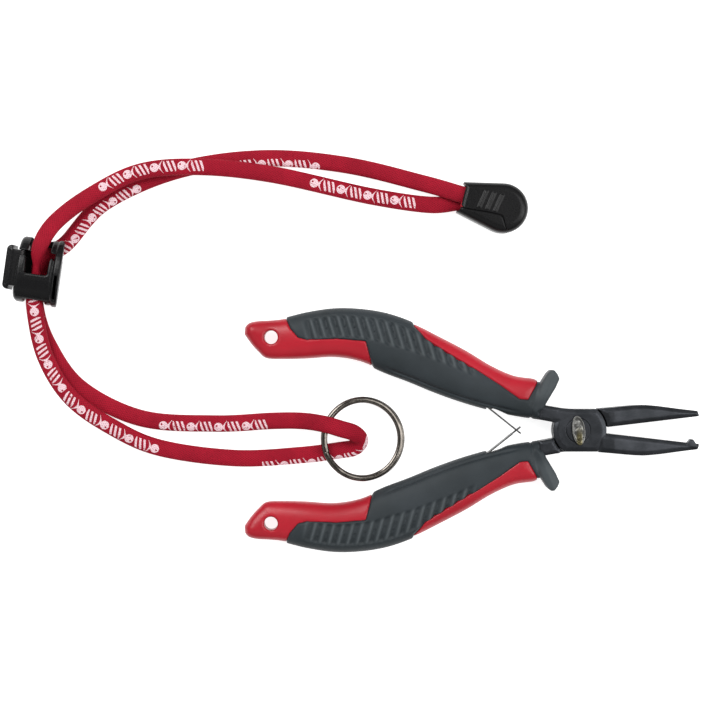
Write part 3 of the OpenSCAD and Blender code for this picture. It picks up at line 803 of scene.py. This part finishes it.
# Each bevel: how far it goes in from the edge, and how far down
PLATE_BEVEL, ROOT_BEVEL, JAW_BEVEL, TOOTH_BEVEL = (1.3, 0.5), (0.9, 0.5), (1.3, 0.6), (0.3, 0.2)
TANG_W, TANG_H, TANG_POWER = 2.6, 2.35, 8
TIP_T = 3.2
RIVET_R, RIVET_HEAD_R, RUN_GAP = 1.9, 4.0, 0.04
TANG_LINE = [[-8, 5.4], [-20, 10.5], [-34, 16.5], [-50, 22.5], [-66, 29], [-80, 31.5]]
JAW_LOW = math.tan(math.radians(JAW_ANGLE))
UPPER_JAW = np.vstack([
    STEEL_EDGE[STEEL_EDGE[:, 0] >= 6],
    [[JAW_L, JAW_L * JAW_LOW + 0.5], [JAW_L, JAW_L * JAW_LOW], [6, 6 * JAW_LOW]],
])
TANG_ROOT = np.vstack([STEEL_EDGE[STEEL_EDGE[:, 0] <= 6], [[0, 0], [-8.2, 2.7], [-13, 3.6]]])
TOOTH = turned([[36.4, -0.8], [37.7, 1.3], [38.6, 1.3], [40.6, -1], [39, -1.6]], -JAW_ANGLE)


def plate(flat, z, low, high, bevel, drop):
    """A flat outline between two heights, with a bevel along both of its edges."""
    long = math.hypot(bevel, drop)
    body = np.maximum(flat, np.maximum(z - high, low - z))
    for rise in (z - high, low - z):
        body = smooth_max(body, ((flat + bevel) * drop + rise * bevel) / long, 0.15)
    return body


def steel_half(x, y, z, tooth):
    """The front half: tang above the centre line, jaw below it."""
    top, low = MID_Z + JOINT_T / 2, MID_Z - JOINT_T / 2
    r = np.hypot(x, y)
    round_hub = np.minimum(r - HUB_LEFT_R, np.maximum(r - HUB_RIGHT_R, -x))
    hub = np.maximum(round_hub, np.abs(y) - HUB_HALF)
    root = outline_distance(TANG_ROOT, x, y)
    jaw = outline_distance(UPPER_JAW, x, -y)
    half_t = np.interp(x, [12, JAW_L + 1], [JOINT_T / 2, TIP_T / 2])
    upper = np.minimum(np.minimum(hub, root), jaw)
    body = plate(upper, z, MID_Z + PLATE_GAP / 2, MID_Z + half_t, *PLATE_BEVEL)
    full_root = np.maximum(np.maximum(root, TANG_START_R - r), x + 6)
    body = np.minimum(body, plate(full_root, z, low, top, *ROOT_BEVEL))
    full_jaw = np.maximum(jaw, JAW_START_R - r)
    body = np.minimum(body, plate(full_jaw, z, MID_Z - half_t, MID_Z + half_t, *JAW_BEVEL))
    if tooth:
        nib = plate(
            outline_distance(TOOTH, x, y), z, MID_Z - half_t, MID_Z + half_t, *TOOTH_BEVEL
        )
        body = smooth_min(body, nib, 0.2)
    body = np.maximum(body, RIVET_R + RUN_GAP - r)
    seat = np.maximum(r - RIVET_HEAD_R - RUN_GAP, top - 1 - RUN_GAP - z)
    return np.maximum(body, -seat)


def add_steel():
    for body, side, tooth in (("front_half", 1, True), ("rear_half", -1, False)):
        points, faces = skin(
            lambda x, y, z: steel_half(x, y, z, tooth), (-13.6, -9.6, 1.4), (41.3, 9.6, 10.6), 0.2
        )
        points = (points - [0, 0, MID_Z]) * np.array([1, side, side]) + [PIVOT_X, 0, MID_Z]
        half = "front" if side > 0 else "rear"
        add(f"{half}_jaw", (points, faces), STEEL, body, "steel", f"{half}_jaw_tang")
        line = smooth(TANG_LINE, 8)[4:]
        centres = np.c_[line[:, 0] + PIVOT_X, line[:, 1] * side, np.full(len(line), MID_Z)]
        tangent = unit(np.gradient(centres, axis=0))
        up = np.tile([0.0, 0.0, 1.0], (len(centres), 1))
        section = superellipse(TANG_W, TANG_H, TANG_POWER, 24)
        tang = tube(f"{half}_tang", centres, np.cross(up, tangent), up, section)
        settle(tang, STEEL, body, "steel")


# --- Rivet and badge ---

RIVET_HEAD_T = 0.5
BADGE_A, BADGE_B, BADGE_LEAN = 2.15, 4.9, 7
BADGE_MID, BADGE_HALF, BADGE_EDGE_R = 0.43, 0.4, 0.15
RIM_DROP, RIM_FROM, DOME_RISE, DOME_FROM = 0.3, (0.9, 0.75), 0.12, (0.8, 0.0)
RIPPLE_RISE, RIPPLE_RATE, RIPPLE_BEND, BEND_RATE, RIPPLE_FROM = 0.1, 2.2, 0.5, 1.6, (0.75, 0.55)


def rivet_field(x, y, z):
    r = np.hypot(x, y)
    tall = np.abs(z - MID_Z)
    half = JOINT_T / 2
    shank = np.maximum(r - RIVET_R, tall - half + RIVET_HEAD_T)
    head = rounded(r - RIVET_HEAD_R, np.abs(tall - half + RIVET_HEAD_T) - RIVET_HEAD_T, 0.05)
    return smooth_min(shank, head, 0.2)


def badge_field(x, y, z):
    """An oval medallion: a raised rim round a sunken field with three ripples."""
    a = math.radians(BADGE_LEAN)
    u, v = x * math.cos(a) + y * math.sin(a), y * math.cos(a) - x * math.sin(a)
    low = MID_Z + JOINT_T / 2
    rate = np.hypot(u / BADGE_A, v / BADGE_B)
    flat = (rate - 1) * np.hypot(u, v) / np.maximum(rate, 0.05) * 0.8
    wave = np.cos(RIPPLE_RATE * (v - RIPPLE_BEND * np.sin(BEND_RATE * u)))
    ripple = RIPPLE_RISE * wave * ramp(*RIPPLE_FROM, rate)
    dip = RIM_DROP * ramp(*RIM_FROM, rate) - DOME_RISE * ramp(*DOME_FROM, rate) - ripple
    tall = np.abs(z - low - BADGE_MID) - BADGE_HALF + np.where(z > low + BADGE_MID, dip, 0)
    return rounded(flat, tall, BADGE_EDGE_R)


def add_joint():
    place = np.array([PIVOT_X, 0, 0])
    points, faces = skin(rivet_field, (-4.5, -4.5, 1.5), (4.5, 4.5, 10.5), 0.14)
    add("rivet", (points + place, faces), RIVET, "pivot", "rivet_steel", "pivot_rivet")
    points, faces = skin(badge_field, (-2.8, -5.6, 9.9), (2.8, 5.6, 11.4), 0.09)
    add("badge", (points + place, faces), BADGE, "pivot", "badge_metal", "pivot_badge")


# --- Leaf springs ---


def leaf_field(x, y, z, forked):
    """A strip that leaves its rolled eye along x, with a fork or a tongue at its end."""
    r = np.hypot(x, y)
    eye = np.maximum(np.abs(r - LEAF_EYE_R + LEAF_T / 2) - LEAF_T / 2, -np.maximum(x, -y - 0.2))
    low, high = (0, -LEAF_EYE_R, -LEAF_W / 2), (LEAF_L, LEAF_T - LEAF_EYE_R, LEAF_W / 2)
    strip = np.minimum(block(x, y, z, low, high, 0.15), np.maximum(eye, np.abs(z) - LEAF_W / 2))
    if forked:
        slot = np.maximum(LEAF_SPLIT - x, np.abs(z) - FORK_HALF)
        return smooth_max(strip, -slot, 0.2)
    return np.maximum(strip, np.minimum(x - LEAF_SPLIT, np.abs(z) - TONGUE_HALF))


def add_springs():
    a = math.radians(LEAF_ANGLE)
    turn = np.array([[math.cos(a), math.sin(a), 0], [-math.sin(a), math.cos(a), 0], [0, 0, 1]])
    place = np.array([PIVOT_X + LEAF_ROOT[0], LEAF_ROOT[1], MID_Z])
    for side, forked in (("upper", True), ("lower", False)):
        points, faces = skin(
            lambda x, y, z: leaf_field(x, y, z, forked), (-1.7, -1.7, -2.5), (14.2, 1.7, 2.5), 0.1
        )
        shape = (points @ turn + place, faces)
        if side == "lower":
            shape = mirrored(*shape)
        add(f"{side}_leaf", shape, SPRING, f"{side}_spring", "spring_steel", f"{side}_leaf_spring")


# --- Split ring ---

RING_CENTRE, RING_R, RING_TILT = (-36, -3.1), 14.2, 7.5
WIRE_W, WIRE_H = 2.1, 1.35
TURN_SHIFT = 0.6
WIRE_START, WIRE_END, WIRE_STEPS, STEP_FROM, RING_PHASE = 16, 704, 420, (342, 378), 144


def add_ring():
    """Two turns of wire; each end lies where the wire steps from one turn to the other."""
    turns = np.linspace(WIRE_START, WIRE_END, WIRE_STEPS)
    upper = ramp(*STEP_FROM, turns)
    a = np.radians(turns - RING_PHASE)
    flat = np.stack([np.cos(a), np.sin(a), np.zeros_like(a)], 1)
    inward = TURN_SHIFT * upper * np.maximum(np.cos(a), 0)
    centres = flat * (RING_R - WIRE_W / 2 - inward)[:, None]
    centres[:, 2] = WIRE_H * (upper - 0.5)
    t = math.radians(RING_TILT)
    tip = np.array([[math.cos(t), 0, -math.sin(t)], [0, 1, 0], [math.sin(t), 0, math.cos(t)]])
    height = RING_R * math.sin(t) + WIRE_H * math.cos(t) + 0.02
    up = np.tile([0.0, 0.0, 1.0], (len(a), 1))
    section = superellipse(WIRE_W / 2 - 0.02, WIRE_H / 2 - 0.02, 2.1, 20)
    path = centres @ tip + [*RING_CENTRE, height]
    piece = tube("split_ring_wire", path, flat @ tip, up @ tip, section)
    return settle(piece, RING, "ring", "ring_metal", "split_ring")


# --- Cord lock ---

LOCK_CENTRE, LOCK_TURN, LOCK_T = (-144.2, 53), -8, 12.4
PLUNGER_HALF, CAVITY_HALF = 6.1, 6.2
BARREL = smooth([
    [-11.3, 5.6], [-10.4, 1.6], [-7.5, 0], [0, 0], [7.5, 0], [10.4, 1.6], [11.3, 4.6], [9.6, 8.2],
    [5.5, LOCK_T - 1.2], [0, LOCK_T], [-6.5, LOCK_T - 0.4], [-10.2, 9.6], [-11.3, 5.6],
], 4)[:-1]
SHELL_X, FLANGE_X = (-6.9, 5.9), (5.5, 8.3)
FLANGE_STEP, FLANGE_LEAN = 0.35, 0.13
# Boxes cut from the lock: where the button slides, where the cord passes, and a groove
CAVITY = (-9, -CAVITY_HALF, 1), (5.4, CAVITY_HALF, 11)
LOW_MOUTH = (-3.4, -13, 1.5), (3.4, 8, 9.1)
TOP_MOUTH = (-3.7, -1.2, 5.6), (3.7, 16, 17)
BACK_MOUTH = (-3.4, 4.6, -3), (10, 16, 5.2)
GROOVE = (6.4, -8.8, 7), (7.3, -1, 17)
CAP_X, CAP_HALF_X, CAP_HALF_Y, CAP_CORNER_R = 8.6, 2.1, 7.4, 1.6
CAP_Z, CAP_HALF_Z, CAP_EDGE_R = 6.1, 4.7, 0.8
CAP_RIDGE_T, CAP_RIDGE_X, CAP_RIDGE_PITCH, CAP_RIDGE_HALF = 0.15, 10.3, 0.8, 5.8
PLUNGER = (-9.4, -PLUNGER_HALF, 1.1), (2, PLUNGER_HALF, 10.9)
# The same cord passages in the plunger, longer by the button's travel
LOW_WINDOW = (-5.6, -9, 1.5), (4, 9, 9.1)
TOP_WINDOW = (-5.6, -1.4, 5.6), (12, 9, 16)
BACK_WINDOW = (-5.6, 4.4, -3), (12, 16, 6)
COIL_X, COIL_Z, COIL_R, COIL_WIRE_R, COIL_TURNS, COIL_STEPS = (3.9, 5.1), 6.0, 1.85, 0.17, 3, 100


def barrel(x, flat, ends, radius):
    low, high = ends
    return rounded(flat, np.abs(x - (low + high) / 2) - (high - low) / 2, radius)


def lock_body_field(x, y, z):
    """The barrel and its flange, which leans in towards its underside, with all the cuts."""
    flat = outline_distance(BARREL, y, z)
    shell = barrel(x, flat + FLANGE_STEP, SHELL_X, 1.3)
    body = smooth_min(shell, barrel(x, flat, FLANGE_X, 0.8), 0.5)
    body = smooth_max(body, x - FLANGE_X[1] + FLANGE_LEAN * (LOCK_T - z), 0.5)
    mouths = np.minimum(block(x, y, z, *LOW_MOUTH, 0.6), block(x, y, z, *TOP_MOUTH, 0.6))
    for cut, blend in (
        (block(x, y, z, *CAVITY), 0.3),
        (mouths, 0.8),
        (block(x, y, z, *BACK_MOUTH, 0.6), 0.5),
        (block(x, y, z, *GROOVE, 0.3), 0.3),
    ):
        body = smooth_max(body, -cut, blend)
    return body


def button_field(x, y, z):
    """The ridged push cap with the plunger behind it, which the cord passes through."""
    flat = rounded(np.abs(y) - CAP_HALF_Y, np.abs(x + CAP_X) - CAP_HALF_X, CAP_CORNER_R)
    head = np.maximum(rounded(flat, np.abs(z - CAP_Z) - CAP_HALF_Z, CAP_EDGE_R), x + CAP_X)
    wave = np.cos(2 * np.pi * (x + CAP_RIDGE_X) / CAP_RIDGE_PITCH)
    ridges = CAP_RIDGE_T * np.maximum(wave, 0) * (np.abs(y) < CAP_RIDGE_HALF)
    body = smooth_min(head + ridges, block(x, y, z, *PLUNGER, 0.5), 0.5)
    cuts = [block(x, y, z, *box, 0.3) for box in (LOW_WINDOW, TOP_WINDOW, BACK_WINDOW)]
    return smooth_max(body, -np.minimum(np.minimum(cuts[0], cuts[1]), cuts[2]), 0.2)


def placed(points, degrees, centre):
    out = points.copy()
    out[:, :2] = turned(points[:, :2], degrees, centre)
    return out


def add_coil():
    """The coil spring behind the button, along the lock's own x."""
    turns = np.linspace(0, 2 * np.pi * COIL_TURNS, COIL_STEPS)
    flat = np.stack([np.zeros_like(turns), np.cos(turns), np.sin(turns)], 1)
    centres = flat * COIL_R
    centres[:, 0] = np.linspace(*COIL_X, COIL_STEPS)
    centres[:, 2] += COIL_Z
    along = np.tile([1.0, 0.0, 0.0], (COIL_STEPS, 1))
    section = superellipse(COIL_WIRE_R, COIL_WIRE_R, 2, 8)
    coil = tube("lock_spring_coil", centres, along, flat, section)
    coil.data.transform(lock_matrix())
    return settle(coil, SPRING, "lanyard", "spring_steel", "cord_lock_spring")


def add_lock():
    points, faces = skin(lock_body_field, (-7.6, -12, -0.4), (9, 12, 13), 0.2)
    shape = (placed(points, LOCK_TURN, LOCK_CENTRE), faces)
    body = add("lock_body", shape, BLACK, "lanyard", "black_plastic", "cord_lock_body")
    points, faces = skin(button_field, (-12, -8, 0.7), (2.6, 8, 11.4), 0.2)
    shape = (placed(points, LOCK_TURN, LOCK_CENTRE), faces)
    button = add(
        "lock_button_cap", shape, BLACK, "lock_button", "black_plastic", "cord_lock_button"
    )
    return [body, button, add_coil()]


def lock_matrix():
    place = Matrix.Translation((LOCK_CENTRE[0] * MM, LOCK_CENTRE[1] * MM, 0))
    return place @ Matrix.Rotation(math.radians(LOCK_TURN), 4, "Z")


# --- Cord end ---

END_MOUTH, END_TURN = (-3.7, 77.6), -14.4
END_R, END_CENTRE_X, END_MOUTH_HALF = 8.3, 14.8, 5.2
END_SPLIT_Z, END_T = 4.8, 9.2
HINGE_X = 20.2
END_EDGE_R, END_WALL, HOLLOW_X, HOLLOW_HALF = 2.7, 1.4, 16.6, 3.7
END_OPENING = (-4, -4.5, 0.9), (4, 4.5, 8.3)
SEAM_Y, SEAM_RISE, SEAM_DROP, SEAM_SLANT = -3.8, 0.9, 8, 1.2
SHELL_BORE_R, LID_BORE_R, KNUCKLE_R, EAR_R = 0.82, 0.86, 1.6, 1.55
KNUCKLE_HALF, EAR_Y, EAR_HALF = 1.9, 3.4, 1.3
RIDGE_XS, RIDGE_HALF, RIDGE_LEAN = (7.2, 9.9, 12.6), 0.5, 0.18
RIDGE_Y, RIDGE_T = (-2.2, 4.2), 0.35


def end_outline(inset):
    r = END_R - inset
    lean = math.asin((END_R - END_MOUTH_HALF) / END_CENTRE_X)
    arc = np.linspace(-math.pi / 2 - lean, math.pi / 2 + lean, 40)
    round_end = np.c_[END_CENTRE_X + r * np.cos(arc), r * np.sin(arc)]
    half = END_MOUTH_HALF - inset
    return np.vstack([round_end, [[inset, half], [inset, -half]]])


def end_form(x, y, z):
    """The cord end with both shells closed: hollow, with a mouth for the two cords."""
    flat = outline_distance(end_outline(0), x, y)
    body = rounded(flat, np.abs(z - END_T / 2) - END_T / 2, END_EDGE_R)
    hollow = np.maximum(outline_distance(end_outline(END_WALL), x, y), x - HOLLOW_X)
    body = smooth_max(body, -np.maximum(hollow, np.abs(z - END_T / 2) - HOLLOW_HALF), 0.2)
    return smooth_max(body, -block(x, y, z, *END_OPENING, 0.8), 0.4)


def lid_zone(x, y, z):
    """The lid's share: above the split, and inside the slanted seam along one side."""
    seam = SEAM_Y + SEAM_RISE * ramp(0, 13, x) - SEAM_DROP * ramp(14.5, 20, x)
    slant = SEAM_SLANT * np.minimum(END_T - z, 0.9)
    return np.maximum(END_SPLIT_Z - z, (seam + slant - y) * 0.65)


def end_body_field(x, y, z):
    axle = np.hypot(x - HINGE_X, z - END_SPLIT_Z)
    body = smooth_max(end_form(x, y, z), -(lid_zone(x, y, z) - 0.04), 0.25)
    room = block(x, y, z, (HINGE_X - 1.9, -12, 1.2), (30, 12, 20))
    body = np.maximum(body, -room)
    tab_low, tab_high = (HINGE_X - 2, -KNUCKLE_HALF, 0.4), (HINGE_X, KNUCKLE_HALF, END_SPLIT_Z)
    tab = block(x, y, z, tab_low, tab_high, 0.1)
    knuckle = np.maximum(axle - KNUCKLE_R, np.abs(y) - KNUCKLE_HALF)
    body = np.minimum(body, smooth_min(tab, knuckle, 0.2))
    return np.maximum(body, SHELL_BORE_R - axle)


def end_lid_field(x, y, z):
    axle = np.hypot(x - HINGE_X, z - END_SPLIT_Z)
    body = smooth_max(end_form(x, y, z), lid_zone(x, y, z) + 0.08, 0.25)
    ears = np.maximum(axle - EAR_R, np.abs(np.abs(y) - EAR_Y) - EAR_HALF)
    body = np.minimum(body, ears)
    lean = x - RIDGE_LEAN * y
    for middle in RIDGE_XS:
        low = (middle - RIDGE_HALF, RIDGE_Y[0], END_T - 1)
        high = (middle + RIDGE_HALF, RIDGE_Y[1], END_T + RIDGE_T)
        body = smooth_min(body, block(lean, y, z, low, high, 0.4), 0.3)
    clear = np.maximum(axle - KNUCKLE_R - 0.15, np.abs(y) - KNUCKLE_HALF - 0.15)
    return np.maximum(np.maximum(body, -clear), LID_BORE_R - axle)


def knot_field(x, y, z):
    """The cord's two ends, heat-set together, with crimp marks across them."""
    lower, upper = (
        block(x, y, z, (0.8, -3.9, low), (12.8, 3.9, low + 3.4), 1.4) for low in (1.2, 4.4)
    )
    crimp = 0.35 * np.maximum(np.cos(2 * np.pi * x / 2.4), 0) * (x > 6)
    return smooth_min(lower, upper, 0.8) + crimp


def add_cord_end():
    for name, field, body, slot, node, finish in (
        ("end_shell", end_body_field, "lanyard", "black_plastic", "cord_end_body", BLACK),
        ("end_lid_shell", end_lid_field, "end_lid", "black_plastic", "cord_end_lid", BLACK),
        ("end_knot", knot_field, "lanyard", "cord_fabric", "cord_end_knot", RED),
    ):
        points, faces = skin(field, (-0.6, -8.9, -0.4), (23.8, 8.9, 10), 0.2)
        add(name, (placed(points, END_TURN, END_MOUTH), faces), finish, body, slot, node)


add_handles()
add_steel()
add_joint()
add_springs()
ring = add_ring()
lock_parts = add_lock()
add_cord_end()

for node in ("upper_spring_pin", "lower_spring_pin", "cord_end_pin"):
    paint(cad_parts[node], RIVET)


# --- Studio ---

FLOOR_SIZE, FLOOR_GLOW = 4, 0.85
# Each area light: where it is, its size in metres and its power in watts
LIGHTS = {
    "key": ((-0.45, 0.5, 0.75), 0.5, 6),
    "fill": ((0.8, -0.05, 0.55), 0.5, 3),
    "top": ((0.55, 0.15, 1.1), 0.6, 3.5),
}
LIGHTS_AIM = (-0.03, 0.03, 0)
# The sky's strength by height: from dim to bright, then darker right overhead
DIM, BRIGHT, OVERHEAD = 0.06, 0.55, 0.35
SKY_RISE, SKY_TOP = (0.1, 0.65), (0.86, 0.97)


def add_floor():
    bpy.ops.mesh.primitive_plane_add(size=FLOOR_SIZE)
    floor = bpy.context.object
    floor.name = "floor"
    floor.location.z = FLOOR_Z
    finish = moulded(
        "floor_paper", tone(198, 198, 198), tone(202, 202, 202), 0.85, 2, 0.01,
        Emission_Color=(1, 1, 1, 1), Emission_Strength=FLOOR_GLOW, Specular_IOR_Level=0,
    )
    paint(floor, finish)


def add_light(name, place, size, power):
    data = bpy.data.lights.new(name, "AREA")
    data.size = size
    data.energy = power
    light = bpy.data.objects.new(name, data)
    light.location = place
    aim = np.array(LIGHTS_AIM) - np.array(place)
    light.rotation_mode = "QUATERNION"
    light.rotation_quaternion = Vector(aim).to_track_quat("-Z", "Y")
    bpy.context.scene.collection.objects.link(light)


def add_world():
    """A light tent: dim at the horizon, bright above it, and dark where the lens looks in."""
    world = bpy.data.worlds.new("studio")
    world.use_nodes = True
    tree = world.node_tree
    coords = tree.nodes.new("ShaderNodeTexCoord")
    split = tree.nodes.new("ShaderNodeSeparateXYZ")
    tree.links.new(coords.outputs["Generated"], split.inputs[0])
    levels = []
    for values in ((*SKY_RISE, DIM, BRIGHT), (*SKY_TOP, 1, OVERHEAD)):
        level = tree.nodes.new("ShaderNodeMapRange")
        level.interpolation_type = "SMOOTHSTEP"
        for slot, value in zip(RANGE_SOCKETS, values):
            level.inputs[slot].default_value = value
        tree.links.new(split.outputs["Z"], level.inputs["Value"])
        levels.append(Term(tree, level.outputs[0]))
    tree.links.new((levels[0] * levels[1]).socket, tree.nodes["Background"].inputs["Strength"])
    tree.nodes["Background"].inputs["Color"].default_value = (1, 1, 1, 1)
    bpy.context.scene.world = world


add_floor()
for name, (place, size, power) in LIGHTS.items():
    add_light(name, place, size, power)
add_world()
bpy.context.scene.view_settings.view_transform = "Standard"
